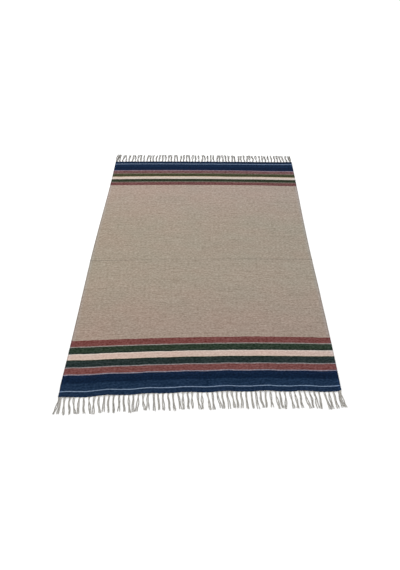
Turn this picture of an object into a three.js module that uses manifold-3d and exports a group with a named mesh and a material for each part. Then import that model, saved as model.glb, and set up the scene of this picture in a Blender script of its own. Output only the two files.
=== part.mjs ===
// A flat-woven wool kilim, 1.7 m by 2.4 m, lying loose on a floor with a
// knotless fringe of twisted warp ends at both short ends.
// Millimetres, +Z up. +X runs across the rug, +Y along it, away from the
// near end. The floor is z = 0 and the origin is the middle of the whole
// footprint, fringes counted.

import * as THREE from 'three';
import { mergeVertices } from 'three/addons/utils/BufferGeometryUtils.js';
import Module from 'manifold-3d';

const wasm = await Module();
wasm.setup();

// Cloth
const CLOTH_WIDTH = 1700;
const CLOTH_LENGTH = 2400;
const CLOTH_THICKNESS = 4;
const CLOTH_CENTRE_Y = 20;
const SELVEDGE_WIDTH = 9;
const SELVEDGE_RISE = 1.2;
const SELVEDGE_EDGE_DROP = 1;
const SELVEDGE_CREST = 0.45;

// The hand loom leaves the wefts askew and bowed. Both are how far a weft lies
// off at the side edge: half way along the rug, and the change to the far end.
const WEFT_TILT = 17.5;
const WEFT_TILT_CHANGE = -13.5;
const WEFT_BOW = -12;
const WEFT_BOW_CHANGE = 8;

// The long edges sway together and the rug is a little wider at its near end.
const SIDE_SWAY = 4.5;
const SIDE_SWAY_PEAK_Y = 1020;
const SIDE_SWAY_LENGTH = 1900;
const SIDE_TAPER = 3.5;
const SIDE_TAPER_LENGTH = 3200;

// Fringe
const PIECE_GAP = 0.3;
const TASSELS_PER_END = 58;
const HEADING_DEPTH = 5;
const HEADING_HEIGHT = 3.6;
const ROOT_SINK = 2.2;
const STRAND_WIDTH_AT_ROOT = 4;
const STRAND_WIDTH_AT_TIP = 5;
const STRAND_TOP_SHARE = 0.55;
const STRAND_HEIGHT_AT_ROOT = 3;
const STRAND_HEIGHT_AT_TIP = 4.4;
const STRAND_STEPS = 4;
const STRANDS_IN_TASSEL = 2;
const STRANDS_IN_CORNER = 4;
const STRAND_SPACING_AT_ROOT = 5.2;
const STRAND_SPACING_AT_TIP = 6.2;
const SPLIT_EXTRA = 9;
const CORNER_FAN = 11;
const ROOT_JITTER = 3;
const LEAN_JITTER = 7;
const SWAY_JITTER = 3.5;
const LENGTH_JITTER = 0.05;
const TASSEL_CLEARANCE = 2.5;

// Grid of the cloth: plain columns between the two selvedges, rows along it
const PLAIN_COLUMNS = 26;
const CLOTH_ROWS = 14;

// Each end has its own lean, edge ripple and pairs of tassels drawn together.
// Leans are along X at the tip. A pair is a tassel and the next one, and pull
// is the share of a half pitch that each tip moves towards the other.
const ENDS = [
  {
    name: 'fringe_near',
    side: -1,
    seed: 0,
    tasselLength: 103,
    longerAtLeft: 0,
    lean: 11.5,
    leanChange: -5.5,
    ripple: 2.5,
    rippleLength: 240,
    rippleCrest: 154,
    pairs: [
      { first: 3, pull: 0.2 },
      { first: 8, pull: 0.35 },
      { first: 15, pull: 0.75 },
      { first: 24, pull: 0.55 },
      { first: 32, pull: 0.6 },
      { first: 41, pull: 0.5 },
      { first: 45, pull: 0.4 },
      { first: 48, pull: 0.5 },
      { first: 50, pull: 0.6 },
      { first: 52, pull: 0.45 },
      { first: 54, pull: 0.8 },
    ],
  },
  {
    name: 'fringe_far',
    side: 1,
    seed: 500,
    tasselLength: 104,
    longerAtLeft: 5,
    lean: 0,
    leanChange: 0,
    ripple: 1.5,
    rippleLength: 260,
    rippleCrest: 60,
    pairs: [
      { first: 2, pull: 0.7 },
      { first: 5, pull: 0.5 },
      { first: 10, pull: 0.8 },
      { first: 14, pull: 0.4 },
      { first: 19, pull: 0.6 },
      { first: 23, pull: 0.8 },
      { first: 28, pull: 0.5 },
      { first: 33, pull: 0.7 },
      { first: 38, pull: 0.6 },
      { first: 43, pull: 0.75 },
      { first: 48, pull: 0.4 },
      { first: 53, pull: 0.6 },
    ],
  },
];

// Materials, as they look on the object
const CLOTH_FINISH = { color: 0xa08c7e, roughness: 0.95, metalness: 0 };
const FRINGE_FINISH = { color: 0xc9c2b6, roughness: 0.9, metalness: 0 };

// Evenly spread value from 0 to 1 for a number, the same on every run
function scatter(number) {
  const value = Math.sin(number * 12.9898) * 43758.5453;
  return value - Math.floor(value);
}

// The same, from -1 to 1
function signedScatter(number) {
  return 2 * scatter(number) - 1;
}

// How far the middle line of the rug lies to the right at a height y
function sideSway(y) {
  return SIDE_SWAY * Math.cos((2 * Math.PI * (y - SIDE_SWAY_PEAK_Y)) / SIDE_SWAY_LENGTH);
}

// X of a point that lies the given share of the half width from the middle line
function clothX(share, y) {
  const taper = SIDE_TAPER * Math.sin((2 * Math.PI * y) / SIDE_TAPER_LENGTH);
  return sideSway(y) + share * (CLOTH_WIDTH / 2 - taper);
}

// Y of a weft: its height along the warp, plus the tilt and the bow of the weave
function weftY(share, along) {
  const part = along / (CLOTH_LENGTH / 2);
  const tilt = (WEFT_TILT + WEFT_TILT_CHANGE * part) * share;
  const bow = (WEFT_BOW + WEFT_BOW_CHANGE * part) * share * share;
  return CLOTH_CENTRE_Y + along + tilt + bow;
}

// Y of the last weft at one end, with its low ripples
function endY(end, share) {
  const x = share * (CLOTH_WIDTH / 2);
  const angle = (2 * Math.PI * (x - end.rippleCrest)) / end.rippleLength;
  return weftY(share, (end.side * CLOTH_LENGTH) / 2) - end.side * end.ripple * Math.cos(angle);
}

// Places across the rug, as shares of the half width, with the height of the
// top face there: a rounded rib at each selvedge and a level field between them
function columnTable() {
  const half = CLOTH_WIDTH / 2;
  const inner = (half - SELVEDGE_WIDTH) / half;
  const crest = (half - SELVEDGE_WIDTH * SELVEDGE_CREST) / half;
  const columns = [
    { share: -1, top: CLOTH_THICKNESS - SELVEDGE_EDGE_DROP },
    { share: -crest, top: CLOTH_THICKNESS + SELVEDGE_RISE },
  ];
  for (let i = 0; i <= PLAIN_COLUMNS; i += 1) {
    const share = inner * ((2 * i) / PLAIN_COLUMNS - 1);
    columns.push({ share, top: CLOTH_THICKNESS });
  }
  columns.push({ share: crest, top: CLOTH_THICKNESS + SELVEDGE_RISE });
  columns.push({ share: 1, top: CLOTH_THICKNESS - SELVEDGE_EDGE_DROP });
  return columns;
}

const COLUMNS = columnTable();

// Y of a row of the cloth's grid at a column. The first and last rows are the
// two end edges, and the ripple of each fades within the rows next to it.
function clothRowY(share, row) {
  if (row === 0) {
    return endY(ENDS[0], share);
  }
  if (row === CLOTH_ROWS) {
    return endY(ENDS[1], share);
  }
  return weftY(share, CLOTH_LENGTH * (row / CLOTH_ROWS - 0.5));
}

// A box whose grid points are moved one by one. place gets the whole-number
// column and row of a point and whether it is on the upper face.
function shapedBox(columns, rows, place) {
  const box = new THREE.BoxGeometry(1, 1, 1, columns, rows, 1);
  box.deleteAttribute('normal');
  box.deleteAttribute('uv');
  const points = box.getAttribute('position');
  for (let i = 0; i < points.count; i += 1) {
    const column = Math.round((points.getX(i) + 0.5) * columns);
    const row = Math.round((points.getY(i) + 0.5) * rows);
    const spot = place(column, row, points.getZ(i) > 0);
    points.setXYZ(i, spot.x, spot.y, spot.z);
  }
  return mergeVertices(box, 1e-4);
}

// The woven cloth, selvedge to selvedge
function clothGeometry() {
  return shapedBox(COLUMNS.length - 1, CLOTH_ROWS, (column, row, upper) => {
    const { share, top } = COLUMNS[column];
    const y = clothRowY(share, row);
    return { x: clothX(share, y), y, z: upper ? top : 0 };
  });
}

// Point of an end edge at a place along x, on the straight runs between columns
function edgePoint(end, x) {
  const spots = COLUMNS.map(({ share }) => {
    const y = endY(end, share);
    return { x: clothX(share, y), y };
  });
  const next = Math.min(Math.max(spots.findIndex((spot) => spot.x > x), 1), spots.length - 1);
  const left = spots[next - 1];
  const right = spots[next];
  const part = (x - left.x) / (right.x - left.x);
  return left.y + part * (right.y - left.y);
}

// The heading: a narrow band of bare warps that follows the last weft
function headingGeometry(end) {
  return shapedBox(COLUMNS.length - 1, 1, (column, row, upper) => {
    const { share } = COLUMNS[column];
    const y = endY(end, share);
    const outside = row === (end.side > 0 ? 1 : 0);
    const away = PIECE_GAP + (outside ? HEADING_DEPTH : 0);
    return { x: clothX(share, y), y: y + end.side * away, z: upper ? HEADING_HEIGHT : 0 };
  });
}

// How far a tassel's tip is pulled towards its partner, in millimetres
function pairPull(end, index, pitch) {
  let pull = 0;
  for (const pair of end.pairs) {
    if (index === pair.first) {
      pull += (pair.pull * pitch) / 2;
    }
    if (index === pair.first + 1) {
      pull -= (pair.pull * pitch) / 2;
    }
  }
  return pull;
}

// Roots and tips of all tassels of an end, kept apart in their order along x
function tasselTable(end) {
  const pitch = CLOTH_WIDTH / TASSELS_PER_END;
  const tassels = [];
  for (let i = 0; i < TASSELS_PER_END; i += 1) {
    const corner = i === 0 || i === TASSELS_PER_END - 1;
    const number = end.seed + i;
    const jitter = corner ? 0 : ROOT_JITTER * signedScatter(number + 0.1);
    const root = (i + 0.5 - TASSELS_PER_END / 2) * pitch + jitter;
    const t = root / (CLOTH_WIDTH / 2);
    const lean = corner ? 0 : end.lean + end.leanChange * t + LEAN_JITTER * signedScatter(number + 0.2);
    const split = corner ? CORNER_FAN : STRAND_SPACING_AT_TIP + SPLIT_EXTRA * scatter(number + 0.3) ** 4;
    const strands = corner ? STRANDS_IN_CORNER : STRANDS_IN_TASSEL;
    tassels.push({
      root,
      tip: root + lean + pairPull(end, i, pitch),
      split,
      strands,
      halfWidth: ((strands - 1) * split + STRAND_WIDTH_AT_TIP) / 2,
      sway: SWAY_JITTER * signedScatter(number + 0.4),
      length: (end.tasselLength - end.longerAtLeft * t) * (1 + LENGTH_JITTER * signedScatter(number + 0.5)),
    });
  }
  spaceOut(tassels);
  return tassels;
}

// Moves crowded tips apart, from the middle of the row to both sides
function spaceOut(tassels) {
  const middle = Math.floor(tassels.length / 2);
  for (let i = middle; i < tassels.length; i += 1) {
    const before = tassels[i - 1];
    const least = before.tip + before.halfWidth + tassels[i].halfWidth + TASSEL_CLEARANCE;
    tassels[i].tip = Math.max(tassels[i].tip, least);
  }
  for (let i = middle - 2; i >= 0; i -= 1) {
    const after = tassels[i + 1];
    const most = after.tip - after.halfWidth - tassels[i].halfWidth - TASSEL_CLEARANCE;
    tassels[i].tip = Math.min(tassels[i].tip, most);
  }
}

// One strand: a bar of four sides with a level foot, bent along its tassel's
// line. It leaves its root straight, turns to its tip and sways between them.
function strandGeometry(end, tassel, place) {
  const rootX = tassel.root + place * STRAND_SPACING_AT_ROOT;
  const tipX = tassel.tip + place * tassel.split;
  const startY = edgePoint(end, tassel.root) + end.side * (PIECE_GAP + ROOT_SINK);
  return shapedBox(1, STRAND_STEPS, (column, row, upper) => {
    const step = end.side > 0 ? row : STRAND_STEPS - row;
    const part = step / STRAND_STEPS;
    const ease = part * part * (2 - part);
    const sway = tassel.sway * Math.sin(Math.PI * part) ** 2;
    const width = THREE.MathUtils.lerp(STRAND_WIDTH_AT_ROOT, STRAND_WIDTH_AT_TIP, part);
    const height = THREE.MathUtils.lerp(STRAND_HEIGHT_AT_ROOT, STRAND_HEIGHT_AT_TIP, part);
    const half = (upper ? STRAND_TOP_SHARE : 1) * (width / 2);
    return {
      x: THREE.MathUtils.lerp(rootX, tipX, ease) + sway + (column === 0 ? -half : half),
      y: startY + end.side * tassel.length * part,
      z: upper ? height : 0,
    };
  });
}

// Solid for joining, from a closed geometry
function solidOf(geometry) {
  return new wasm.Manifold(new wasm.Mesh({
    numProp: 3,
    vertProperties: new Float32Array(geometry.getAttribute('position').array),
    triVerts: new Uint32Array(geometry.getIndex().array),
  }));
}

// Geometry of a joined solid
function geometryOf(solid) {
  const { vertProperties, triVerts } = solid.getMesh();
  const geometry = new THREE.BufferGeometry();
  geometry.setAttribute('position', new THREE.BufferAttribute(vertProperties, 3));
  geometry.setIndex(new THREE.BufferAttribute(triVerts, 1));
  return geometry;
}

// The fringe of one end: all strands fused at their roots into the heading
function fringeGeometry(end) {
  let fringe = solidOf(headingGeometry(end));
  for (const tassel of tasselTable(end)) {
    for (let i = 0; i < tassel.strands; i += 1) {
      const place = i - (tassel.strands - 1) / 2;
      fringe = fringe.add(solidOf(strandGeometry(end, tassel, place)));
    }
  }
  return geometryOf(fringe);
}

// A named mesh with its own finish
function piece(name, geometry, finish) {
  geometry.computeVertexNormals();
  const mesh = new THREE.Mesh(geometry, new THREE.MeshStandardMaterial(finish));
  mesh.name = name;
  return mesh;
}

const kilim = new THREE.Group();
kilim.name = 'kilim';
kilim.add(piece('cloth', clothGeometry(), CLOTH_FINISH));
for (const end of ENDS) {
  kilim.add(piece(end.name, fringeGeometry(end), FRINGE_FINISH));
}

export default kilim;
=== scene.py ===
# Flat-woven wool kilim lying loose on a pale floor, with twisted warp fringes.
# Metres, +Z up, +X across the rug, +Y along it, away from the near end.

import math

import bpy
import numpy as np
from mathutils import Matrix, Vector


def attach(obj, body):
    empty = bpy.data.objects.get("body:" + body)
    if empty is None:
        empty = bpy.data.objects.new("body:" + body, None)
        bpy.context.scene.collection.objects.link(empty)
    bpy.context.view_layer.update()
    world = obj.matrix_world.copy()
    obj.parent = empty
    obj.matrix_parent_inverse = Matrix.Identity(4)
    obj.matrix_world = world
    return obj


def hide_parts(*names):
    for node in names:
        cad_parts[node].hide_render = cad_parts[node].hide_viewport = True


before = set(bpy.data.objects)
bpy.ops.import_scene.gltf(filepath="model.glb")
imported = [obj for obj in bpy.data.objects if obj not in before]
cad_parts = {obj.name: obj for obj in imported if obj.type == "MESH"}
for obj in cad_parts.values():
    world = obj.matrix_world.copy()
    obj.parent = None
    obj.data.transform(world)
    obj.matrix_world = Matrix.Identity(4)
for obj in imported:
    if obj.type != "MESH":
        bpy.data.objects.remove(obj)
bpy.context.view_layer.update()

# Camera
# A wide lens well above head height looks down on the rug from a metre outside
# its near end, turned a little to the left, with the whole rug in a tall frame.

CAMERA_PLACE = (0.0158, -2.3481, 2.3831)
CAMERA_DOWN = 49.765
CAMERA_TURN = 0.748
CAMERA_SIGHT = 50
LENS_MM = 27.0
SENSOR_MM = 36.0

camera = bpy.data.objects.new("camera", bpy.data.cameras.new("camera"))
bpy.context.collection.objects.link(camera)
camera.location = CAMERA_PLACE
camera.rotation_euler = (math.radians(90 - CAMERA_DOWN), 0, math.radians(CAMERA_TURN))
camera.data.lens = LENS_MM
camera.data.sensor_width = SENSOR_MM
camera.data.clip_end = CAMERA_SIGHT
bpy.context.scene.camera = camera

# Floor and light
# A smooth painted studio floor, nearly white, under an even white sky. One broad
# soft lamp from the far left gives the low relief of the weave a lit side.

FLOOR_SIDE = 30.0
FLOOR_DROP = 0.0002
FLOOR_COLOURS = ("#fafafa", "#fcfcfc")
FLOOR_CLOUD_MM = 1250.0
SKY_STRENGTH = 1.05
LAMP_WATTS = 115
LAMP_SIDE = 3.4
LAMP_PLACE = (-3.2, 3.6, 4.2)
LAMP_AIM = (0, 0.1, 0)


def colour(hex_text):
    """Linear colour of an sRGB hex value: c / 12.92 below 0.04045, else ((c + 0.055) / 1.055) ** 2.4."""
    parts = np.array([int(hex_text[i:i + 2], 16) for i in (1, 3, 5)]) / 255
    linear = np.where(parts < 0.04045, parts / 12.92, ((parts + 0.055) / 1.055) ** 2.4)
    return (*linear.tolist(), 1.0)


def add(tree, kind, inputs, **settings):
    """Adds a shader node with its settings and links. An input is a value, another
    node's output, or another node, which stands for its first output."""
    node = tree.nodes.new("ShaderNode" + kind)
    for name, value in settings.items():
        setattr(node, name, value)
    for key, value in inputs.items():
        if isinstance(value, bpy.types.Node):
            value = value.outputs[0]
        if isinstance(value, bpy.types.NodeSocket):
            tree.links.new(value, node.inputs[key])
        else:
            node.inputs[key].default_value = value
    return node


def new_material(name):
    """A material with an empty node tree."""
    material = bpy.data.materials.new(name)
    material.use_nodes = True
    material.node_tree.nodes.clear()
    return material, material.node_tree


def painted_floor():
    """Matt floor paint: even and pale, with a faint cloudiness over a metre wide."""
    material, tree = new_material("matt_floor_paint")
    place = add(tree, "TexCoord", {}).outputs["Object"]
    cloud = add(tree, "TexNoise", {"Vector": place, "Scale": 1000 / FLOOR_CLOUD_MM, "Detail": 2.0})
    tone = add(tree, "Mix", {
        "Factor": cloud, "A": colour(FLOOR_COLOURS[0]), "B": colour(FLOOR_COLOURS[1]),
    }, data_type="RGBA").outputs["Result"]
    shader = add(tree, "BsdfPrincipled", {
        "Base Color": tone, "Roughness": 0.8, "Specular IOR Level": 0.2,
    })
    add(tree, "OutputMaterial", {"Surface": shader})
    return material


def flat_floor():
    """A square of side FLOOR_SIDE, FLOOR_DROP under the lowest yarns."""
    half = FLOOR_SIDE / 2
    corners = np.array([[-half, -half], [half, -half], [half, half], [-half, half]])
    points = np.column_stack([corners, np.full(4, -FLOOR_DROP)])
    mesh = bpy.data.meshes.new("floor")
    mesh.from_pydata(points.tolist(), [], [(0, 1, 2, 3)])
    return mesh


floor = bpy.data.objects.new("floor", flat_floor())
bpy.context.collection.objects.link(floor)
floor.data.materials.append(painted_floor())

scene = bpy.context.scene
scene.view_settings.view_transform = "Standard"
world = bpy.data.worlds.new("even_sky")
scene.world = world
world.use_nodes = True
world.node_tree.nodes["Background"].inputs["Color"].default_value = (1, 1, 1, 1)
world.node_tree.nodes["Background"].inputs["Strength"].default_value = SKY_STRENGTH

lamp = bpy.data.objects.new("soft_lamp", bpy.data.lights.new("soft_lamp", "AREA"))
bpy.context.collection.objects.link(lamp)
lamp.data.energy = LAMP_WATTS
lamp.data.size = LAMP_SIDE
lamp.location = LAMP_PLACE
aim = Vector(LAMP_AIM) - Vector(LAMP_PLACE)
lamp.rotation_euler = aim.to_track_quat("-Z", "Y").to_euler()

# Cloth
# One weft-faced wool panel, beaten tight over off-white warps on a hand loom,
# with stripes of dyed weft at both ends and two corded selvedges. It lies
# loose, so its ends ripple a little and a fold across the middle still shows.

CLOTH_WIDTH = 1.7
CLOTH_LENGTH = 2.4
CLOTH_CENTRE_Y = 0.020
HALF_THICK = 0.0019

# How far a weft lies off at the side edge: half way along, and the change to the far end
WEFT_TILT = (0.0175, -0.0135)
WEFT_BOW = (-0.012, 0.008)

# Both sides sway together, and the width tapers and widens again
SIDE_SWAY = 0.0045
SIDE_SWAY_PEAK_Y = 1.02
SIDE_SWAY_LENGTH = 1.9
SIDE_TAPER = 0.0035
SIDE_TAPER_LENGTH = 3.2

# The right half narrows a little between the fold and the near end, and the near left
# corner is drawn in
RIGHT_STEP = 0.0024
RIGHT_STEP_Y = -0.30
RIGHT_STEP_REACH = 0.25
LEFT_CORNER_DRAW = 0.0035
LEFT_CORNER_Y = -1.14
LEFT_CORNER_REACH = 0.05

# The wefts of the far border sag, most on the right: constant, tilt and bow
FAR_SAG = (-0.0027, 0.0033, 0.0075)
FAR_SAG_ALONG = 0.95
FAR_SAG_REACH = 0.16

# The last wefts are beaten in at the near end, more so on its right, and spread at the far
# end. Where a change starts, and how far on it is complete, is a share of the half width
# or, for the ends, of the half length.
NEAR_DRAW = 0.0013
NEAR_DRAW_START = -0.8
NEAR_DRAW_REACH = 0.2
NEAR_RIGHT_DRAW = 0.0018
NEAR_RIGHT_START = 0.3
NEAR_RIGHT_REACH = 0.3
NEAR_END_START = 0.85
NEAR_END_REACH = 0.15
FAR_SPREAD = 0.0045
FAR_END_START = 0.94
FAR_END_REACH = 0.06

# Ripples that run up from each end edge: their shift in the plane, their length, the place
# of a crest, their lift off the floor and the distance over which they fade
END_RIPPLES = {
    -1: {"shift": 0.0025, "length": 0.24, "crest": 0.154, "lift": 0.0035, "fade": 0.42},
    1: {"shift": 0.0015, "length": 0.26, "crest": 0.060, "lift": 0.0020, "fade": 0.25},
}
CREST_POWER = 1.5

# Places where the weft is beaten unevenly and the stripes bend: metres across and along,
# how far they bend towards the far end in millimetres, and the reach across and along
PULLED_PLACES = [
    # across, along, pull, reach across, reach along
    (-0.85, -1.20, 4.0, 0.02, 0.03),
    (-0.82, -0.95, 2.5, 0.06, 0.06),
    (-0.38, -1.14, -2.4, 0.06, 0.13),
    (-0.22, -1.16, 1.2, 0.04, 0.12),
    (-0.09, -1.12, -1.4, 0.05, 0.08),
    (0.22, -1.05, 1.3, 0.09, 0.25),
    (0.27, -1.20, 1.6, 0.03, 0.04),
    (0.35, -0.81, 2.0, 0.09, 0.05),
    (0.64, -1.05, -1.4, 0.10, 0.18),
    (0.84, -0.81, -4.0, 0.12, 0.06),
    (0.85, -1.20, 5.0, 0.02, 0.03),
    (-0.80, 1.20, -2.5, 0.06, 0.05),
    (-0.20, 0.84, 2.0, 0.08, 0.05),
    (0.28, 0.96, -2.8, 0.14, 0.03),
    (0.58, 1.07, -4.0, 0.16, 0.05),
    (0.72, 0.84, -3.6, 0.16, 0.06),
    (0.80, 1.20, 3.2, 0.08, 0.05),
]

# Each weft wanders a little, slower along the rug than across it, and close to the
# selvedges the near wefts lie further along
WEFT_WANDER = 0.0006
WEFT_WANDER_REACH = 0.09
WEFT_WANDER_SQUEEZE = 0.5
WEFT_WANDER_SEED = 3
SELVEDGE_DRAW = 0.002
SELVEDGE_DRAW_REACH = 0.07

# The old fold is a low ridge with a rounded crest, which wanders a little
FOLD_ALONG = -0.096
FOLD_HEIGHT = 0.0022
FOLD_REACH = 0.016
FOLD_ROUNDING = 0.002
FOLD_WANDER = 0.003
FOLD_WANDER_REACH = 0.5
FOLD_WANDER_SEED = 6

# How unevenly the cloth lies on the floor, and how unevenly it is beaten, in lumps that
# are longer across the rug than along it
FLOOR_LIFT = 0.0004
FLOOR_LIFT_REACH = 0.35
FLOOR_LIFT_SEED = 5
BEATING = 0.00012
BEATING_REACH = 0.03
BEATING_SQUEEZE = 0.35
BEATING_SEED = 7

# The selvedge cord, its groove, and the rounded rim of the cloth
CORD_RISE = 0.0007
CORD_PLACE = 0.0040
CORD_REACH = 0.0026
GROOVE_DEPTH = 0.0004
GROOVE_PLACE = 0.0094
GROOVE_REACH = 0.0018
RIM = 0.0026

TASSELS_PER_END = 58
WARPS_IN_TASSEL = 8
SCALLOP = 0.0016
SCALLOP_REACH = 0.006

# Steps of the grid in from a side edge and in from an end edge, and between them
RIM_STEPS = np.array([0, 0.0004, 0.0012, 0.0025, 0.0040, 0.0056, 0.0072, 0.0094, 0.0116, 0.0150])
END_STEPS = np.array([0, 0.0005, 0.0014, 0.0026, 0.0060])
PLAIN_STEP = 0.0100

WAVE_COUNT = 8
WAVE_SIZES = (0.7, 1.6)


def graded(length, steps, plain):
    """Places from 0 to length: the given steps at both ends and even steps of about
    plain between."""
    inner = length - 2 * steps[-1]
    middle = np.linspace(steps[-1], length - steps[-1], int(round(inner / plain)) + 1)
    return np.concatenate([steps[:-1], middle, length - steps[-2::-1]])


def waves(x, y, reach, seed):
    """Smooth unevenness from about -1 to 1: twice the mean of WAVE_COUNT sine waves that
    run in random directions from random starts, each WAVE_SIZES times reach long."""
    spread = np.random.default_rng(seed)
    total = np.zeros(np.broadcast(x, y).shape)
    for _ in range(WAVE_COUNT):
        angle = spread.uniform(0, math.tau)
        size = spread.uniform(*WAVE_SIZES)
        start = spread.uniform(0, math.tau)
        wave = (x * math.cos(angle) + y * math.sin(angle)) * math.tau / (size * reach)
        total += np.sin(wave + start)
    return total * 2 / WAVE_COUNT


def smooth(value):
    """3 v squared - 2 v cubed, for v held between 0 and 1."""
    v = np.clip(value, 0, 1)
    return v * v * (3 - 2 * v)


def side_place(share, y):
    """X across the rug: a cosine sway of the middle line plus the share of the half width,
    which a sine tapers, less the step of the right half, plus the near left corner's draw."""
    taper = SIDE_TAPER * np.sin(math.tau * y / SIDE_TAPER_LENGTH)
    sway = SIDE_SWAY * np.cos(math.tau * (y - SIDE_SWAY_PEAK_Y) / SIDE_SWAY_LENGTH)
    step = RIGHT_STEP * smooth((RIGHT_STEP_Y - y) / RIGHT_STEP_REACH) * np.clip(share, 0, 1)
    corner = LEFT_CORNER_DRAW * smooth((LEFT_CORNER_Y - y) / LEFT_CORNER_REACH) * np.clip(-share, 0, 1)
    return sway + share * (CLOTH_WIDTH / 2 - taper) - step + corner


def end_fade(along, side):
    """1 at an end edge, falling to 0 over that end's fade as (1 - distance / fade) squared."""
    distance = CLOTH_LENGTH / 2 - side * along
    return np.clip(1 - distance / END_RIPPLES[side]["fade"], 0, 1) ** 2


def ripple_wave(share, side):
    """Cosine across the rug with the crest and length of that end's ripples."""
    ripple = END_RIPPLES[side]
    return np.cos(math.tau * (share * CLOTH_WIDTH / 2 - ripple["crest"]) / ripple["length"])


def weft_place(share, along):
    """Y of a weft: its place along the warp plus tilt times share and bow times share
    squared, the end ripples, the far border's sag as exp(-distance squared), the last
    wefts' draw and spread, the pull of the selvedges as exp(-distance squared), the pulled
    places as bumps of exp(-distance squared), and a slight wander."""
    part = along / (CLOTH_LENGTH / 2)
    y = CLOTH_CENTRE_Y + along
    y = y + (WEFT_TILT[0] + WEFT_TILT[1] * part) * share
    y = y + (WEFT_BOW[0] + WEFT_BOW[1] * part) * share ** 2
    for side, ripple in END_RIPPLES.items():
        y = y - side * ripple["shift"] * ripple_wave(share, side) * end_fade(along, side)
    sag = FAR_SAG[0] + FAR_SAG[1] * share + FAR_SAG[2] * share ** 2
    y = y - sag * np.exp(-((along - FAR_SAG_ALONG) / FAR_SAG_REACH) ** 2)
    near_draw = NEAR_DRAW * smooth((share - NEAR_DRAW_START) / NEAR_DRAW_REACH)
    near_draw = near_draw + NEAR_RIGHT_DRAW * smooth((share - NEAR_RIGHT_START) / NEAR_RIGHT_REACH)
    y = y + near_draw * smooth((-part - NEAR_END_START) / NEAR_END_REACH)
    y = y + FAR_SPREAD * smooth((part - FAR_END_START) / FAR_END_REACH)
    from_edge = (1 - np.abs(share)) * CLOTH_WIDTH / 2
    y = y + SELVEDGE_DRAW * (1 - part) / 2 * np.exp(-(from_edge / SELVEDGE_DRAW_REACH) ** 2)
    x = share * CLOTH_WIDTH / 2
    for place_x, place_y, pull, reach_x, reach_y in PULLED_PLACES:
        distance = ((x - place_x) / reach_x) ** 2 + ((along - place_y) / reach_y) ** 2
        y = y + pull / 1000 * np.exp(-distance)
    wander = waves(x, along * WEFT_WANDER_SQUEEZE, WEFT_WANDER_REACH, WEFT_WANDER_SEED)
    return y + WEFT_WANDER * wander


def scallop(share, along):
    """The last wefts bulge towards each tassel and fall back between two of them: a cosine
    of one turn a tassel, which fades as exp(-distance / SCALLOP_REACH) from the end edge."""
    turns = (share + 1) / 2 * TASSELS_PER_END
    near_edge = np.exp(-(CLOTH_LENGTH / 2 - np.abs(along)) / SCALLOP_REACH)
    return -np.sign(along) * SCALLOP * np.cos(math.tau * turns) * near_edge


def floor_lift(share, along):
    """How far the underside stands off the floor: a low unevenness, the crests of the end
    ripples as (1 + cosine) / 2 to the power CREST_POWER, and the old fold as a ridge
    that falls off as exp(-distance / FOLD_REACH)."""
    x = share * CLOTH_WIDTH / 2
    lift = FLOOR_LIFT * (1 + waves(x, along, FLOOR_LIFT_REACH, FLOOR_LIFT_SEED))
    for side, ripple in END_RIPPLES.items():
        crest = ((1 + ripple_wave(share, side)) / 2) ** CREST_POWER
        lift = lift + ripple["lift"] * crest * end_fade(along, side)
    wander = FOLD_WANDER * waves(x, 0 * x, FOLD_WANDER_REACH, FOLD_WANDER_SEED)
    fold = np.sqrt((along - FOLD_ALONG + wander) ** 2 + FOLD_ROUNDING ** 2)
    return np.clip(lift, 0, None) + FOLD_HEIGHT * np.exp(-fold / FOLD_REACH)


def half_thickness(share, along):
    """Half the cloth's thickness, without and with its rounded rim: a cord and a groove
    along each selvedge as exp(-distance squared), small lumps of uneven beating, and a
    fall to 0 over RIM as a quarter circle."""
    x = share * CLOTH_WIDTH / 2
    side = (1 - np.abs(share)) * CLOTH_WIDTH / 2
    end = CLOTH_LENGTH / 2 - np.abs(along)
    half = HALF_THICK + CORD_RISE * np.exp(-((side - CORD_PLACE) / CORD_REACH) ** 2)
    half = half - GROOVE_DEPTH * np.exp(-((side - GROOVE_PLACE) / GROOVE_REACH) ** 2)
    half = half + BEATING * waves(x * BEATING_SQUEEZE, along, BEATING_REACH, BEATING_SEED)
    fall = np.clip(1 - np.minimum(side, end) / RIM, 0, 1)
    return half, half * np.sqrt(1 - fall ** 2)


def grid_faces(index):
    """Quads of a grid of point numbers, turned to face up when rows run along +Y."""
    a, b, c, d = index[:-1, :-1], index[:-1, 1:], index[1:, 1:], index[1:, :-1]
    return np.stack([a, b, c, d], axis=-1).reshape(-1, 4)


def smooth_mesh(name, points, faces):
    """A mesh of points and faces, shaded smooth."""
    mesh = bpy.data.meshes.new(name)
    mesh.from_pydata(points.reshape(-1, 3).tolist(), [], faces)
    mesh.polygons.foreach_set("use_smooth", np.ones(len(faces), dtype=bool))
    return mesh


def write_points(mesh, name, parts):
    """Stores a vector for every point of a mesh under a name, from arrays of its three
    parts, which are stretched to one shape."""
    values = np.stack(np.broadcast_arrays(*parts), axis=-1)
    layer = mesh.attributes.new(name, "FLOAT_VECTOR", "POINT")
    layer.data.foreach_set("vector", np.ascontiguousarray(values, dtype=np.float32).ravel())


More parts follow.
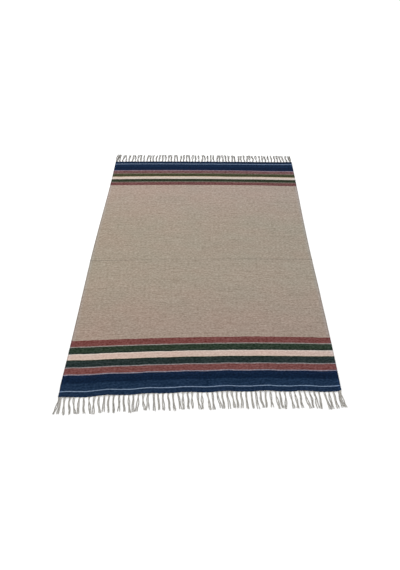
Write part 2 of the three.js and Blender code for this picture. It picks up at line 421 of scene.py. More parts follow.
def woven_sheet():
    """Upper and lower grids that share their outer ring, so that the sheet is closed. Both
    stand half the thickness off a middle surface, which lies the floor lift and half the
    thickness up. Each point keeps its place in the weave, for the stripes."""
    share = graded(CLOTH_WIDTH, RIM_STEPS, PLAIN_STEP) / (CLOTH_WIDTH / 2) - 1
    along = graded(CLOTH_LENGTH, END_STEPS, PLAIN_STEP) - CLOTH_LENGTH / 2
    share, along = np.meshgrid(share, along)
    y = weft_place(share, along) + scallop(share, along)
    x = side_place(share, y)
    full, half = half_thickness(share, along)
    middle = floor_lift(share, along) + full
    upper = np.stack([x, y, middle + half], axis=-1)
    lower = np.stack([x, y, middle - half], axis=-1)

    rows, columns = share.shape
    top = np.arange(rows * columns).reshape(rows, columns)
    under = top.copy()
    inner = (rows - 2) * (columns - 2)
    under[1:-1, 1:-1] = rows * columns + np.arange(inner).reshape(rows - 2, columns - 2)
    points = np.concatenate([upper.reshape(-1, 3), lower[1:-1, 1:-1].reshape(-1, 3)])
    faces = np.concatenate([grid_faces(top), grid_faces(under)[:, ::-1]])
    mesh = smooth_mesh("cloth", points, faces.tolist())

    weave = np.stack([share * CLOTH_WIDTH / 2, along, 0 * along], axis=-1)
    weave = np.concatenate([weave.reshape(-1, 3), weave[1:-1, 1:-1].reshape(-1, 3)])
    write_points(mesh, "weave", weave.T)
    return mesh


# Dyed wefts, from the edge inwards: name, width in millimetres, colour
NEAR_STRIPES = [
    ("navy edge", 32.8, "#14263d"),
    ("pale blue line", 5.2, "#71839a"),
    ("worn navy", 49.8, "#15283f"),
    ("deep navy", 30.0, "#05182f"),
    ("navy", 24.2, "#0a1b33"),
    ("lavender line", 7.0, "#7a747e"),
    ("red", 42.5, "#6a403d"),
    ("grey line", 6.6, "#7b7475"),
    ("blue green", 40.5, "#202a29"),
    ("olive edge", 7.6, "#222a22"),
    ("cream line", 7.5, "#bca99b"),
    ("pink cream", 29.9, "#bba499"),
    ("cream line", 8.1, "#c3b6ac"),
    ("dark green", 7.5, "#222a25"),
    ("green", 41.0, "#263226"),
    ("pink grey line", 7.5, "#827a76"),
    ("red", 44.7, "#693d3a"),
]
FAR_STRIPES = [
    ("navy edge", 35.7, "#0d1e35"),
    ("pale blue line", 5.0, "#7a8da8"),
    ("worn navy", 46.4, "#061d37"),
    ("navy", 50.6, "#01152f"),
    ("mauve line", 6.5, "#7f7280"),
    ("red", 43.5, "#664848"),
    ("olive line", 8.0, "#646051"),
    ("olive green", 38.3, "#383a23"),
    ("yellow cream line", 9.0, "#b3a08b"),
    ("cream", 30.0, "#bbaea4"),
    ("green", 40.3, "#242c1d"),
    ("grey line", 9.8, "#6f675e"),
    ("red", 41.9, "#613d3c"),
]

# The taupe field's colour at the near border, in the middle and at the far border, and the
# distances from the middle between which the middle's colour gives way to the others. The
# hues are the wool's own; that they grow lighter towards the far border is painted light,
# standing for the brighter lighting at the far end.
FIELD_NEAR = "#938377"
FIELD_MIDDLE = "#94897b"
FIELD_FAR = "#998a7f"
FIELD_BLEND = (0.30, 0.74)

# The length of border and field that one colour ramp spans, and the range within which
# the interlocking wefts move a change of colour
BORDER_SPAN = 0.45
INTERLOCK = 0.0030

WARP_PITCH = CLOTH_WIDTH / TASSELS_PER_END / WARPS_IN_TASSEL
WEFT_PITCH = 0.0012

# Patterns of the wool: width across the rug and length along it, in millimetres, and
# detail. Single wefts are too fine to show from the camera, so the streaks and specks
# that carry their change of tone are drawn 9 to 14 mm apart, coarser away from the camera.
WOOL_PATTERNS = {
    "interlock": (9.0, 16.0, 2),
    "streaks": (77.0, 9.0, 2),
    "specks": (18.0, 11.0, 1),
    "bands": (450.0, 24.0, 2),
    "single wefts": (70.0, 1.2, 2),
    "drift": (310.0, 180.0, 2),
    "fold wander": (200.0, 10000.0, 2),
    "hairs": (9.5, 6.7, 2),
    "lumps": (33.0, 6.7, 3),
}
SPECK_COARSENING = 0.09

# How strongly each pattern changes a weft's tone, more in a dark dye than in a light one,
# and the share of that change which is grey
TONE_STRENGTHS = {"streaks": 0.4, "specks": 0.71, "bands": 0.18, "single wefts": 0.3}
TONE_CONTRAST = 0.36
TONE_LIGHTNESS = 0.07
TONE_DARKEST = -0.7
LIGHTNESS_SHARES = (0.3, 0.6, 0.1)
GREY_SHARE = 0.6

# Pairs of tints, as factors of red, green and blue, that the wool drifts and fades between,
# and the distances from the side edge between which it is less and less rubbed
DRIFT_STEEPNESS = 2.6
DRIFT_TINTS = ((1.022, 0.992, 0.99, 1), (0.984, 1.004, 1.0, 1))
FADE_TINTS = ((1.015, 1, 0.985, 1), (0.985, 1, 1.02, 1))
RUBBED_TINTS = ((1, 1, 1, 1), (1.01, 1.06, 1.13, 1))
RUBBED_BAND = (0.016, 0.028)

# The selvedge cord's shade and the distances from the side edge over which it ends, then
# the place, half width and gain of the worn pale line inside it
CORD_SHADE = 0.80
CORD_BAND = (0.006, 0.009)
WORN_LINE = 0.0115
WORN_LINE_REACH = 0.002
WORN_LINE_GAIN = 0.10

# Painted shade along the crease of the old fold: its wander, its half width, the place
# across where it is faintest, and the distances from there between which it darkens
CREASE_SHADE_WANDER = 0.008
CREASE_SHADE_REACH = 0.006
CREASE_SHADE_FAINTEST = -0.12
CREASE_SHADE_BAND = (0.25, 0.5)
CREASE_SHADE_AMOUNTS = (-0.12, -0.3)

# Relief of the weave: the depth of its beads as a share, the shade in its grooves and the
# gain to its tops, the lumps of uneven yarn, and the whole depth
BEAD_DEPTH = 0.25
GROOVE_SHADE = 0.85
RELIEF_GAIN = 0.4
LUMP_HEIGHT = 2.2
RELIEF_DEPTH = 0.0004

# Hairs that took less dye: how sharply they stand out, then the factor that makes them
# paler, and the linear amounts of red, green and blue of a painted glint added to them
HAIR_STEEPNESS = 1.6
HAIR_LIGHTER = 1.35
HAIR_PAINTED_GLINT = (0.008, 0.014, 0.020)


def wool_noises(tree, weave, along):
    """The noise of every wool pattern at the place in the weave over the pattern's size.
    For the specks that place is first multiplied by 1 - SPECK_COARSENING times along."""
    finer = add(tree, "Math", {0: along, 1: -SPECK_COARSENING, 2: 1.0}, operation="MULTIPLY_ADD")
    speckled = add(tree, "VectorMath", {0: weave, "Scale": finer}, operation="SCALE")
    noises = {}
    for name, (wide, long, detail) in WOOL_PATTERNS.items():
        size = (1000 / wide, 1000 / long, 1)
        start = speckled if name == "specks" else weave
        place = add(tree, "VectorMath", {0: start, 1: size}, operation="MULTIPLY")
        noises[name] = add(tree, "TexNoise", {
            "Vector": place, "Scale": 1.0, "Detail": detail,
        }, noise_dimensions="2D")
    return noises


def stripe_ramp(tree, stripes, field, inward):
    """The colour at a distance inward from an end edge: steps of a stripe table, then
    the field. A ramp has 256 steps, so it spans one border and not the whole rug."""
    ramp = add(tree, "ValToRGB", {"Fac": inward})
    ramp.color_ramp.interpolation = "CONSTANT"
    elements = ramp.color_ramp.elements
    elements.remove(elements[1])
    elements[0].color = colour(stripes[0][2])
    place = 0.0
    next_dyes = [dye for _, _, dye in stripes[1:]] + [field]
    for (_, width, _), dye in zip(stripes, next_dyes):
        place += width / 1000
        elements.new(place / BORDER_SPAN).color = colour(dye)
    return ramp.outputs["Color"]


def striped_dye(tree, along, interlock):
    """The dye of a weft: the near or the far border's stripes, mixed with the middle of the
    field by the distance from the middle. A change of colour steps back and forth by
    about a millimetre, INTERLOCK times the noise, as the wefts interlock."""
    place = add(tree, "Math", {0: interlock, 1: INTERLOCK, 2: along}, operation="MULTIPLY_ADD")
    borders = []
    for side, stripes, field in ((-1, NEAR_STRIPES, FIELD_NEAR), (1, FAR_STRIPES, FIELD_FAR)):
        end = (CLOTH_LENGTH / 2 + side * INTERLOCK / 2) / BORDER_SPAN
        inward = add(tree, "Math", {0: place, 1: -side / BORDER_SPAN, 2: end}, operation="MULTIPLY_ADD")
        borders.append(stripe_ramp(tree, stripes, field, inward))
    far_half = add(tree, "Math", {0: along, 1: 0.0}, operation="GREATER_THAN")
    ends = add(tree, "Mix", {
        "Factor": far_half, "A": borders[0], "B": borders[1],
    }, data_type="RGBA").outputs["Result"]
    from_middle = add(tree, "Math", {0: along}, operation="ABSOLUTE")
    end_share = add(tree, "MapRange", {
        "Value": from_middle, "From Min": FIELD_BLEND[0], "From Max": FIELD_BLEND[1],
    })
    return add(tree, "Mix", {
        "Factor": end_share, "A": colour(FIELD_MIDDLE), "B": ends,
    }, data_type="RGBA").outputs["Result"]


def tinted(tree, dye, across, from_side, drift):
    """The dye times three tints: a slow drift between browner and greyer wool, as hand
    dyeing leaves it, a slight fading to grey from the left side to the right, and greyer
    wool near the selvedges, rubbed by feet that step on and off."""
    drift = add(tree, "Math", {
        0: drift, 1: DRIFT_STEEPNESS, 2: (1 - DRIFT_STEEPNESS) / 2,
    }, operation="MULTIPLY_ADD")
    faded = add(tree, "MapRange", {
        "Value": across, "From Min": -CLOTH_WIDTH / 2, "From Max": CLOTH_WIDTH / 2,
    })
    rubbed = add(tree, "MapRange", {
        "Value": from_side, "From Min": RUBBED_BAND[0], "From Max": RUBBED_BAND[1],
        "To Min": 1.0, "To Max": 0.0,
    })
    wool = dye
    for share, tints in ((drift, DRIFT_TINTS), (faded, FADE_TINTS), (rubbed, RUBBED_TINTS)):
        tint = add(tree, "Mix", {
            "Factor": share, "A": tints[0], "B": tints[1],
        }, data_type="RGBA").outputs["Result"]
        wool = add(tree, "VectorMath", {0: wool, 1: tint}, operation="MULTIPLY")
    return wool


def heathered(tree, wool, dye, noises):
    """The wool lighter or darker by the summed patterns, times TONE_CONTRAST over the dye's
    lightness plus TONE_LIGHTNESS. The wool varies under its dye, so GREY_SHARE of the
    change is grey, as strong as the dye's weakest channel, and the rest scales the dye."""
    tone = -sum(TONE_STRENGTHS.values()) / 2
    for name, strength in TONE_STRENGTHS.items():
        tone = add(tree, "Math", {0: noises[name], 1: strength, 2: tone}, operation="MULTIPLY_ADD")
    lightness = add(tree, "VectorMath", {0: dye, 1: LIGHTNESS_SHARES}, operation="DOT_PRODUCT")
    lightness = add(tree, "Math", {0: lightness.outputs["Value"], 1: TONE_LIGHTNESS}, operation="ADD")
    contrast = add(tree, "Math", {0: TONE_CONTRAST, 1: lightness}, operation="DIVIDE")
    tone = add(tree, "Math", {0: tone, 1: contrast}, operation="MULTIPLY")
    tone = add(tree, "Math", {0: tone, 1: TONE_DARKEST}, operation="MAXIMUM")

    channels = add(tree, "SeparateXYZ", {0: dye}).outputs
    least = add(tree, "Math", {0: channels["X"], 1: channels["Y"]}, operation="MINIMUM")
    least = add(tree, "Math", {0: least, 1: channels["Z"]}, operation="MINIMUM")
    least = add(tree, "Math", {0: least, 1: GREY_SHARE}, operation="MULTIPLY")
    grey = add(tree, "Math", {0: tone, 1: least}, operation="MULTIPLY")
    tone = add(tree, "Math", {0: tone, 1: 1 - GREY_SHARE, 2: 1.0}, operation="MULTIPLY_ADD")
    return add(tree, "VectorMath", {0: wool, 1: tone, 2: grey}, operation="MULTIPLY_ADD")


def selvedge_shade(tree, from_side):
    """Shade of the cord at the selvedge, packed tighter and darker than the cloth, plus
    the gain of the worn pale line inside it."""
    cord = add(tree, "MapRange", {
        "Value": from_side, "From Min": CORD_BAND[0], "From Max": CORD_BAND[1],
        "To Min": CORD_SHADE, "To Max": 1.0,
    })
    worn = add(tree, "Math", {0: from_side, 1: WORN_LINE, 2: WORN_LINE_REACH}, operation="COMPARE")
    return add(tree, "Math", {0: worn, 1: WORN_LINE_GAIN, 2: cord}, operation="MULTIPLY_ADD")


def painted_fold_shade(tree, across, along, wander):
    """Painted shade along the crease of the old fold, darker towards both sides: 1 plus the
    darkening times a share that falls from 1 on the wandering line to 0 at its reach from it."""
    line = add(tree, "Math", {
        0: wander, 1: CREASE_SHADE_WANDER, 2: FOLD_ALONG - CREASE_SHADE_WANDER / 2,
    }, operation="MULTIPLY_ADD")
    away = add(tree, "Math", {0: along, 1: line}, operation="SUBTRACT")
    away = add(tree, "Math", {0: away}, operation="ABSOLUTE")
    fold = add(tree, "MapRange", {
        "Value": away, "From Min": 0.0, "From Max": CREASE_SHADE_REACH, "To Min": 1.0, "To Max": 0.0,
    })
    middle = add(tree, "Math", {0: across, 1: CREASE_SHADE_FAINTEST}, operation="SUBTRACT")
    middle = add(tree, "Math", {0: middle}, operation="ABSOLUTE")
    crease_darkening = add(tree, "MapRange", {
        "Value": middle, "From Min": CREASE_SHADE_BAND[0], "From Max": CREASE_SHADE_BAND[1],
        "To Min": CREASE_SHADE_AMOUNTS[0], "To Max": CREASE_SHADE_AMOUNTS[1],
    })
    return add(tree, "Math", {0: fold, 1: crease_darkening, 2: 1.0}, operation="MULTIPLY_ADD")


def weave_relief(tree, across, along):
    """Height of a plain weave with its warps hidden, from 0 to 1: each warp's rib as
    (1 + cosine) / 2 across, times the beads of the wefts that arch over it, a cosine
    along that starts half a turn later from one warp to the next."""
    rib = add(tree, "Math", {0: across, 1: math.tau / WARP_PITCH}, operation="MULTIPLY")
    rib = add(tree, "Math", {0: rib}, operation="COSINE")
    rib = add(tree, "Math", {0: rib, 1: 0.5, 2: 0.5}, operation="MULTIPLY_ADD")
    warp = add(tree, "Math", {0: across, 1: 1 / WARP_PITCH, 2: 0.5}, operation="MULTIPLY_ADD")
    warp = add(tree, "Math", {0: warp}, operation="FLOOR")
    start = add(tree, "Math", {0: warp, 1: math.pi}, operation="MULTIPLY")
    bead = add(tree, "Math", {0: along, 1: math.pi / WEFT_PITCH, 2: start}, operation="MULTIPLY_ADD")
    bead = add(tree, "Math", {0: bead}, operation="COSINE")
    bead = add(tree, "Math", {0: bead, 1: BEAD_DEPTH, 2: 1 - BEAD_DEPTH}, operation="MULTIPLY_ADD")
    return add(tree, "Math", {0: rib, 1: bead}, operation="MULTIPLY")


def woven_wool():
    """Hand-spun wool wefts: matt and fuzzy, each weft a little lighter or darker
    than the next, so that the field looks heathered in short level streaks."""
    material, tree = new_material("weft_faced_wool")
    weave = add(tree, "Attribute", {}, attribute_name="weave").outputs["Vector"]
    parts = add(tree, "SeparateXYZ", {0: weave})
    across, along = parts.outputs["X"], parts.outputs["Y"]
    from_side = add(tree, "Math", {0: across}, operation="ABSOLUTE")
    from_side = add(tree, "Math", {0: CLOTH_WIDTH / 2, 1: from_side}, operation="SUBTRACT")
    noises = wool_noises(tree, weave, along)

    dye = striped_dye(tree, along, noises["interlock"])
    wool = tinted(tree, dye, across, from_side, noises["drift"])
    wool = heathered(tree, wool, dye, noises)

    # The grooves between the ribs lie in their own shade
    relief = weave_relief(tree, across, along)
    groove = add(tree, "Math", {0: relief, 1: RELIEF_GAIN, 2: GROOVE_SHADE}, operation="MULTIPLY_ADD")
    shade = selvedge_shade(tree, from_side)
    for part in (painted_fold_shade(tree, across, along, noises["fold wander"]), groove):
        shade = add(tree, "Math", {0: shade, 1: part}, operation="MULTIPLY")
    wool = add(tree, "VectorMath", {0: wool, "Scale": shade}, operation="SCALE")

    # Coarse hairs that take less dye, so that every stripe has paler flecks of its own colour,
    # with a faint bluish painted glint added to them
    hairs = add(tree, "Math", {
        0: noises["hairs"], 1: HAIR_STEEPNESS, 2: -HAIR_STEEPNESS / 2,
    }, operation="MULTIPLY_ADD")
    hairs = add(tree, "Math", {0: hairs, 1: 0.0}, operation="MAXIMUM")
    pale = add(tree, "VectorMath", {
        0: wool, 1: (HAIR_LIGHTER, HAIR_LIGHTER, HAIR_LIGHTER), 2: HAIR_PAINTED_GLINT,
    }, operation="MULTIPLY_ADD")
    wool = add(tree, "Mix", {"Factor": hairs, "A": wool, "B": pale}, data_type="RGBA").outputs["Result"]

    height = add(tree, "Math", {0: noises["lumps"], 1: LUMP_HEIGHT, 2: relief}, operation="MULTIPLY_ADD")
    bump = add(tree, "Bump", {"Height": height, "Distance": RELIEF_DEPTH, "Strength": 0.8})
    shader = add(tree, "BsdfPrincipled", {
        "Base Color": wool, "Roughness": 0.95, "Specular IOR Level": 0.05,
        "Sheen Weight": 0.015, "Sheen Roughness": 0.6, "Normal": bump,
    })
    add(tree, "OutputMaterial", {"Surface": shader})
    return material


cloth = bpy.data.objects.new("woven_cloth", woven_sheet())
bpy.context.collection.objects.link(cloth)
cloth.data.materials.append(woven_wool())
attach(cloth, "root")
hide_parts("cloth")

# Fringes
# The warps go on past the last weft. Eight at a time are drawn together and
# rolled into two loose cords, which untwist again towards their cut ends.

WARPS_IN_CORNER = 16
YARNS_IN_CORD = 4
CORDS_IN_CORNER = WARPS_IN_CORNER // YARNS_IN_CORD

# One yarn: its radius and how that varies and thins at the tip, how its length varies, how
# far its tip strays, and the length of a turn of its two plies
YARN_RADIUS = 0.00095
YARN_RADIUS_JITTER = 0.12
TIP_THINNING = 0.35
TIP_THINNING_POWER = 12
YARN_LENGTH_JITTER = 0.035
YARN_STRAY = 0.0035
PLY_TURN = 0.006

# One cord: the length of a turn, how that varies and how far it untwists, the yarns' offset
# from its middle line, how flat it lies at the tip, how fast it slackens and how it wanders
CORD_TURN = 0.030
CORD_TURN_JITTER = 0.3
CORD_UNTWIST = 0.25
CORD_OFFSET = 0.00135
CORD_FLATTENING = 0.25
CORD_SLACK_RATE = 6
CORD_WANDER = 0.0018
CORD_WANDER_TURNS = 1.4

# Where a yarn has closed on its cord and has come down to the floor, both from the cloth's
# edge, and how far inside the cloth it starts
GATHER = 0.0030
SETTLE = 0.016
INSIDE = 0.004

YARN_SIDES = 5
YARN_STEPS = 30
YARN_STEP_GRADING = 1.25

# Layout of the cords, the same as that of the solid strands
CORD_SPACING_AT_ROOT = 0.0052
CORD_SPACING_AT_TIP = 0.0062
CORD_WIDTH_AT_TIP = 0.005
SPLIT_EXTRA = 0.009
CORNER_FAN = 0.011
ROOT_JITTER = 0.003
LEAN_JITTER = 0.007
SWAY_JITTER = 0.0035
LENGTH_JITTER = 0.05
TASSEL_CLEARANCE = 0.0025
ROOT_START = 0.0025

# Added to the number of a tassel or yarn, so that each quantity scatters in its own way
SCATTERS = {
    "root": 0.1, "lean": 0.2, "split": 0.3, "sway": 0.4, "length": 0.5,
    "start of turn": 0.6, "wander": 0.7, "turn": 0.9, "yarn length": 0.3, "stray": 0.5,
}
YARN_SEED_FACTOR = 7
YARN_NUMBER_STEP = 1.7

# Leans are along X at the tip. Slack and spread say how far the yarns stand off their cord,
# soon after the root and at the tip. The higher open is, on the left or the right, the fewer
# tassels there are split. A corner tassel's four tips lie at the given places, in steps of
# CORNER_FAN, and the right one starts corner_out further out. A pair is a tassel and the
# next one, and its value is the share of a half pitch that each tip moves to the other.
# Each fringe's worn value is the share of painted shade that darkens its yarns: the far fringe, seen at
# a low angle, is painted darker for the shade among its strands
FRINGES = [
    {
        "node": "fringe_near", "piece": "near_fringe_yarns", "side": -1, "seed": 0,
        "length": 0.103, "longer_at_left": 0.0, "lean": 0.0115, "lean_change": -0.0055,
        "slack": 0.25, "spread": 0.85, "loose": 1.5, "worn": 0.0,
        "open_left": 4.0, "open_right": 1.6,
        "left_corner": (-1.75, -1.1, 0.45, 1.2), "right_corner": (-0.5, 0.3, 1.2, 2.4),
        "corner_out": 0.007,
        "pairs": {
            3: 0.2, 8: 0.35, 15: 0.75, 24: 0.55, 32: 0.6, 41: 0.5, 45: 0.4, 48: 0.5, 50: 0.6,
            52: 0.45, 54: 0.8,
        },
    },
    {
        "node": "fringe_far", "piece": "far_fringe_yarns", "side": 1, "seed": 500,
        "length": 0.107, "longer_at_left": 0.005, "lean": -0.003, "lean_change": -0.004,
        "slack": 0.6, "spread": 1.4, "loose": 2.1, "worn": 1.0,
        "open_left": 1.6, "open_right": 2.2,
        "left_corner": (-0.3, 0.8, 1.9, 3.0), "right_corner": (-1.2, -0.4, 0.3, 0.9),
        "corner_out": 0.003,
        "pairs": {
            2: 0.7, 5: 0.5, 10: 0.8, 14: 0.4, 19: 0.6, 23: 0.8, 28: 0.5, 33: 0.7, 38: 0.6,
            43: 0.75, 48: 0.4, 53: 0.6,
        },
    },
]

# Colours of the darkest and the palest yarn, and how much the painted shade in the seams
# between the plies, the fibres, handling towards the tip and the far fringe's painted shade
# darken them
YARN_COLOURS = ("#9a968f", "#c5c1b9")
PLY_SEAM_PAINTED_SHADE = 0.25
FIBRE_SHADE = 0.4
HANDLED_SHADE = 0.1
FAR_FRINGE_PAINTED_SHADE = 0.38

# The size of a patch of lighter or darker fibre, and the depth of the seam between the
# plies. Single fibres are too fine to show, so a patch is about two yarns wide.
FIBRE_PATCH_MM = 3.846
PLY_DEPTH = 0.0004


def scatter(number):
    """Evenly spread value from -1 to 1: twice the fraction of sin(12.9898 n) * 43758.5453, less 1."""
    value = np.sin(np.asarray(number, dtype=float) * 12.9898) * 43758.5453
    return 2 * (value - np.floor(value)) - 1


def tassel_table(end):
    """Arrays with the root, tip, cord spacing, number of cords, sway and length of every
    tassel of an end. Crowded tips are moved apart, from the middle of the row to both
    sides."""
    index = np.arange(TASSELS_PER_END)
    pitch = CLOTH_WIDTH / TASSELS_PER_END
    corner = (index == 0) | (index == TASSELS_PER_END - 1)
    number = end["seed"] + index
    root = (index + 0.5 - TASSELS_PER_END / 2) * pitch
    root = root + np.where(corner, 0, ROOT_JITTER * scatter(number + SCATTERS["root"]))
    t = root / (CLOTH_WIDTH / 2)
    lean = end["lean"] + end["lean_change"] * t + LEAN_JITTER * scatter(number + SCATTERS["lean"])
    tip = root + np.where(corner, 0, lean)
    for first, pull in end["pairs"].items():
        tip[first] += pull * pitch / 2
        tip[first + 1] -= pull * pitch / 2
    power = (end["open_left"] * (1 - t) + end["open_right"] * (1 + t)) / 2
    split = ((scatter(number + SCATTERS["split"]) + 1) / 2) ** power
    split = np.where(corner, CORNER_FAN, CORD_SPACING_AT_TIP + SPLIT_EXTRA * split)
    cords = np.where(corner, WARPS_IN_CORNER, WARPS_IN_TASSEL) // YARNS_IN_CORD
    half_width = ((cords - 1) * split + CORD_WIDTH_AT_TIP) / 2
    middle = TASSELS_PER_END // 2
    for i in range(middle, TASSELS_PER_END):
        tip[i] = max(tip[i], tip[i - 1] + half_width[i - 1] + half_width[i] + TASSEL_CLEARANCE)
    for i in range(middle - 2, -1, -1):
        tip[i] = min(tip[i], tip[i + 1] - half_width[i + 1] - half_width[i] - TASSEL_CLEARANCE)
    sway = SWAY_JITTER * scatter(number + SCATTERS["sway"])
    length = end["length"] - end["longer_at_left"] * t
    length = length * (1 + LENGTH_JITTER * scatter(number + SCATTERS["length"]))
    return {"root": root, "tip": tip, "split": split, "cords": cords, "sway": sway, "length": length}


def yarn_table(tassels):
    """For every yarn: its tassel, its cord's place in the tassel, its number in the
    cord and its place across the cloth's edge as a share of the half width."""
    rows = []
    for tassel, cords in enumerate(tassels["cords"]):
        warps = cords * YARNS_IN_CORD
        for warp in range(warps):
            slot = tassel + (warp + 0.5) / warps
            cord = warp // YARNS_IN_CORD - (cords - 1) / 2
            rows.append((tassel, cord, warp % YARNS_IN_CORD, 2 * slot / TASSELS_PER_END - 1))
    tassel, cord, strand, share = np.array(rows).T
    return tassel.astype(int), cord, strand, share


def cord_middle(end, tassels, tassel, cord, root, part):
    """X of the middle line of each yarn's cord: from root to tip as part squared times
    (2 - part), plus the tassel's sway as a sine squared and the cord's wander as a sine."""
    in_corner = np.clip(cord + (CORDS_IN_CORNER - 1) / 2, 0, CORDS_IN_CORNER - 1).astype(int)
    left_corner = np.array(end["left_corner"])[in_corner]
    right_corner = np.array(end["right_corner"])[in_corner]
    tip_place = np.where(tassel == 0, left_corner, cord)
    tip_place = np.where(tassel == TASSELS_PER_END - 1, right_corner, tip_place)
    from_x = (root + cord * CORD_SPACING_AT_ROOT)[:, None]
    to_x = (tassels["tip"][tassel] + tip_place * tassels["split"][tassel])[:, None]
    ease = part ** 2 * (2 - part)
    middle = from_x + (to_x - from_x) * ease
    middle = middle + tassels["sway"][tassel][:, None] * np.sin(np.pi * part) ** 2
    wander = CORD_WANDER * end["loose"] * scatter(tassel + SCATTERS["wander"] + cord)[:, None]
    return middle + wander * np.sin(math.tau * part * CORD_WANDER_TURNS + tassel[:, None])


def yarn_paths(end):
    """Middle lines of all yarns, one row of points each, and how far along each point
    is. A yarn leaves the cloth straight, closes on its cord within GATHER, comes down to
    the floor within SETTLE, and runs round the cord's middle line in a helix whose width
    grows to the tip."""
    side = end["side"]
    tassels = tassel_table(end)
    tassel, cord, strand, share = yarn_table(tassels)
    number = end["seed"] * YARN_SEED_FACTOR + np.arange(len(tassel)) * YARN_NUMBER_STEP
    edge = side * CLOTH_LENGTH / 2 * np.ones_like(share)
    start_y = weft_place(share, edge) + scallop(share, edge)
    start_x = side_place(share, start_y)
    start_z = floor_lift(share, edge) + HALF_THICK
    root = tassels["root"][tassel] + np.where(tassel == TASSELS_PER_END - 1, end["corner_out"], 0)
    root_share = (root - side_place(0, start_y)) / (CLOTH_WIDTH / 2)
    root_y = weft_place(root_share, edge) + scallop(root_share, edge)

    length = tassels["length"][tassel]
    length = length * (1 + YARN_LENGTH_JITTER * scatter(number + SCATTERS["yarn length"])) + ROOT_START
    run = np.linspace(0, 1, YARN_STEPS) ** YARN_STEP_GRADING
    gone = (length[:, None] + INSIDE) * run - INSIDE
    part = np.clip(gone / length[:, None], 0, 1)
    middle_x = cord_middle(end, tassels, tassel, cord, root, part)

    turn = CORD_TURN * (1 + CORD_TURN_JITTER * scatter(tassel + SCATTERS["turn"]))[:, None]
    angle = strand / YARNS_IN_CORD + scatter(tassel + SCATTERS["start of turn"] + cord)
    twist = np.where(cord > 0, 1, -1)[:, None]
    angle = math.tau * angle[:, None] + twist * math.tau * gone / turn * (1 - CORD_UNTWIST * part)
    slack = end["slack"] * smooth(part * CORD_SLACK_RATE)
    wide = CORD_OFFSET * (1 + slack + end["spread"] * part ** 2)
    high = CORD_OFFSET * (1 - CORD_FLATTENING * part ** 2)
    stray = YARN_STRAY * scatter(number + SCATTERS["stray"])[:, None] ** 3 * part ** 3
    gather = smooth((gone + INSIDE) / (GATHER + INSIDE))
    settle = smooth(gone / SETTLE)
    x = start_x[:, None] * (1 - gather) + (middle_x + wide * np.cos(angle)) * gather + stray
    y = (start_y[:, None] * (1 - gather) + root_y[:, None] * gather) + side * gone
    floor_z = YARN_RADIUS + high * (1 + np.sin(angle))
    z = start_z[:, None] * (1 - settle) + floor_z * settle
    return np.stack([x, y, z], axis=-1), gone, part, number


def yarn_mesh(end):
    """Tubes of YARN_SIDES sides along all yarn paths, closed at both ends. A ring is
    the path's point plus the radius times cos a across it and sin a above it. Each point
    keeps its lay, cos a, sin a and the metres gone, and its kind, the yarn's shade, the
    part of its length and its share of the far fringe's painted shade."""
    paths, gone, part, number = yarn_paths(end)
    yarns, steps, _ = paths.shape
    ahead = np.gradient(paths, axis=1)
    ahead /= np.linalg.norm(ahead, axis=-1, keepdims=True)
    across = np.cross(ahead, np.array([0.0, 0.0, 1.0]))
    across /= np.linalg.norm(across, axis=-1, keepdims=True)
    above = np.cross(across, ahead)
    turn = math.tau * np.arange(YARN_SIDES) / YARN_SIDES
    radius = YARN_RADIUS * (1 + YARN_RADIUS_JITTER * scatter(number)[:, None])
    radius = radius * (1 - TIP_THINNING * part ** TIP_THINNING_POWER)
    ring = np.cos(turn)[:, None] * across[:, :, None] + np.sin(turn)[:, None] * above[:, :, None]
    points = paths[:, :, None] + radius[:, :, None, None] * ring
    points[..., 2] = np.maximum(points[..., 2], 0)

    index = np.arange(yarns * steps * YARN_SIDES).reshape(yarns, steps, YARN_SIDES)
    after = np.roll(index, -1, axis=2)
    sides = np.stack([index[:, :-1], index[:, 1:], after[:, 1:], after[:, :-1]], axis=-1)
    faces = sides.reshape(-1, 4).tolist() + index[:, 0].tolist() + index[:, -1, ::-1].tolist()
    mesh = smooth_mesh(end["piece"], points, faces)
    shade = (scatter(number) / 2 + 0.5)[:, None, None]
    write_points(mesh, "lay", (np.cos(turn), np.sin(turn), gone[:, :, None]))
    write_points(mesh, "kind", (shade, part[:, :, None], np.full(YARN_SIDES, end["worn"])))
    return mesh


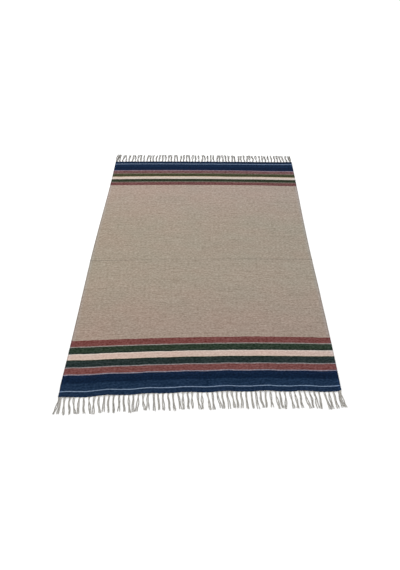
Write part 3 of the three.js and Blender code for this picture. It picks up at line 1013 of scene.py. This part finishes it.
def warp_yarn():
    """Undyed two-ply wool warp: off-white and matt, greyer towards the tip, where it is
    handled, with painted shade in the seams between its plies, and painted darker all over
    in the far fringe, for the shade among its strands."""
    material, tree = new_material("undyed_two_ply_yarn")
    lay = add(tree, "Attribute", {}, attribute_name="lay").outputs["Vector"]
    kind = add(tree, "Attribute", {}, attribute_name="kind").outputs["Vector"]
    lay = add(tree, "SeparateXYZ", {0: lay})
    kind = add(tree, "SeparateXYZ", {0: kind})

    # Two plies wind round each other, with painted shade in the seam where they meet
    angle = add(tree, "Math", {0: lay.outputs["Z"], 1: math.tau / PLY_TURN}, operation="MULTIPLY")
    cosine = add(tree, "Math", {0: angle}, operation="COSINE")
    sine = add(tree, "Math", {0: angle}, operation="SINE")
    ply = add(tree, "Math", {0: lay.outputs["X"], 1: cosine}, operation="MULTIPLY")
    ply = add(tree, "Math", {0: lay.outputs["Y"], 1: sine, 2: ply}, operation="MULTIPLY_ADD")
    ply = add(tree, "Math", {0: ply}, operation="ABSOLUTE")

    place = add(tree, "TexCoord", {}).outputs["Object"]
    fibre = add(tree, "TexNoise", {"Vector": place, "Scale": 1000 / FIBRE_PATCH_MM, "Detail": 3.0})
    base = add(tree, "Mix", {
        "Factor": kind.outputs["X"], "A": colour(YARN_COLOURS[0]), "B": colour(YARN_COLOURS[1]),
    }, data_type="RGBA").outputs["Result"]
    tone = add(tree, "Math", {0: ply, 1: PLY_SEAM_PAINTED_SHADE, 2: 1 - PLY_SEAM_PAINTED_SHADE}, operation="MULTIPLY_ADD")
    for source, gain, start in (
        (fibre, FIBRE_SHADE, 1 - FIBRE_SHADE / 2),
        (kind.outputs["Y"], -HANDLED_SHADE, 1 + HANDLED_SHADE / 2),
        # The far fringe's yarns are painted darker, as painted shade among their strands
        (kind.outputs["Z"], -FAR_FRINGE_PAINTED_SHADE, 1.0),
    ):
        part = add(tree, "Math", {0: source, 1: gain, 2: start}, operation="MULTIPLY_ADD")
        tone = add(tree, "Math", {0: tone, 1: part}, operation="MULTIPLY")
    yarn = add(tree, "VectorMath", {0: base, "Scale": tone}, operation="SCALE")
    bump = add(tree, "Bump", {"Height": ply, "Distance": PLY_DEPTH, "Strength": 0.7})
    shader = add(tree, "BsdfPrincipled", {
        "Base Color": yarn, "Roughness": 0.9, "Specular IOR Level": 0.2,
        "Sheen Weight": 0.1, "Sheen Roughness": 0.5, "Normal": bump,
    })
    add(tree, "OutputMaterial", {"Surface": shader})
    return material


yarn_finish = warp_yarn()
for end in FRINGES:
    fringe = bpy.data.objects.new(end["piece"], yarn_mesh(end))
    bpy.context.collection.objects.link(fringe)
    fringe.data.materials.append(yarn_finish)
    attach(fringe, "root")
    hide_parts(end["node"])
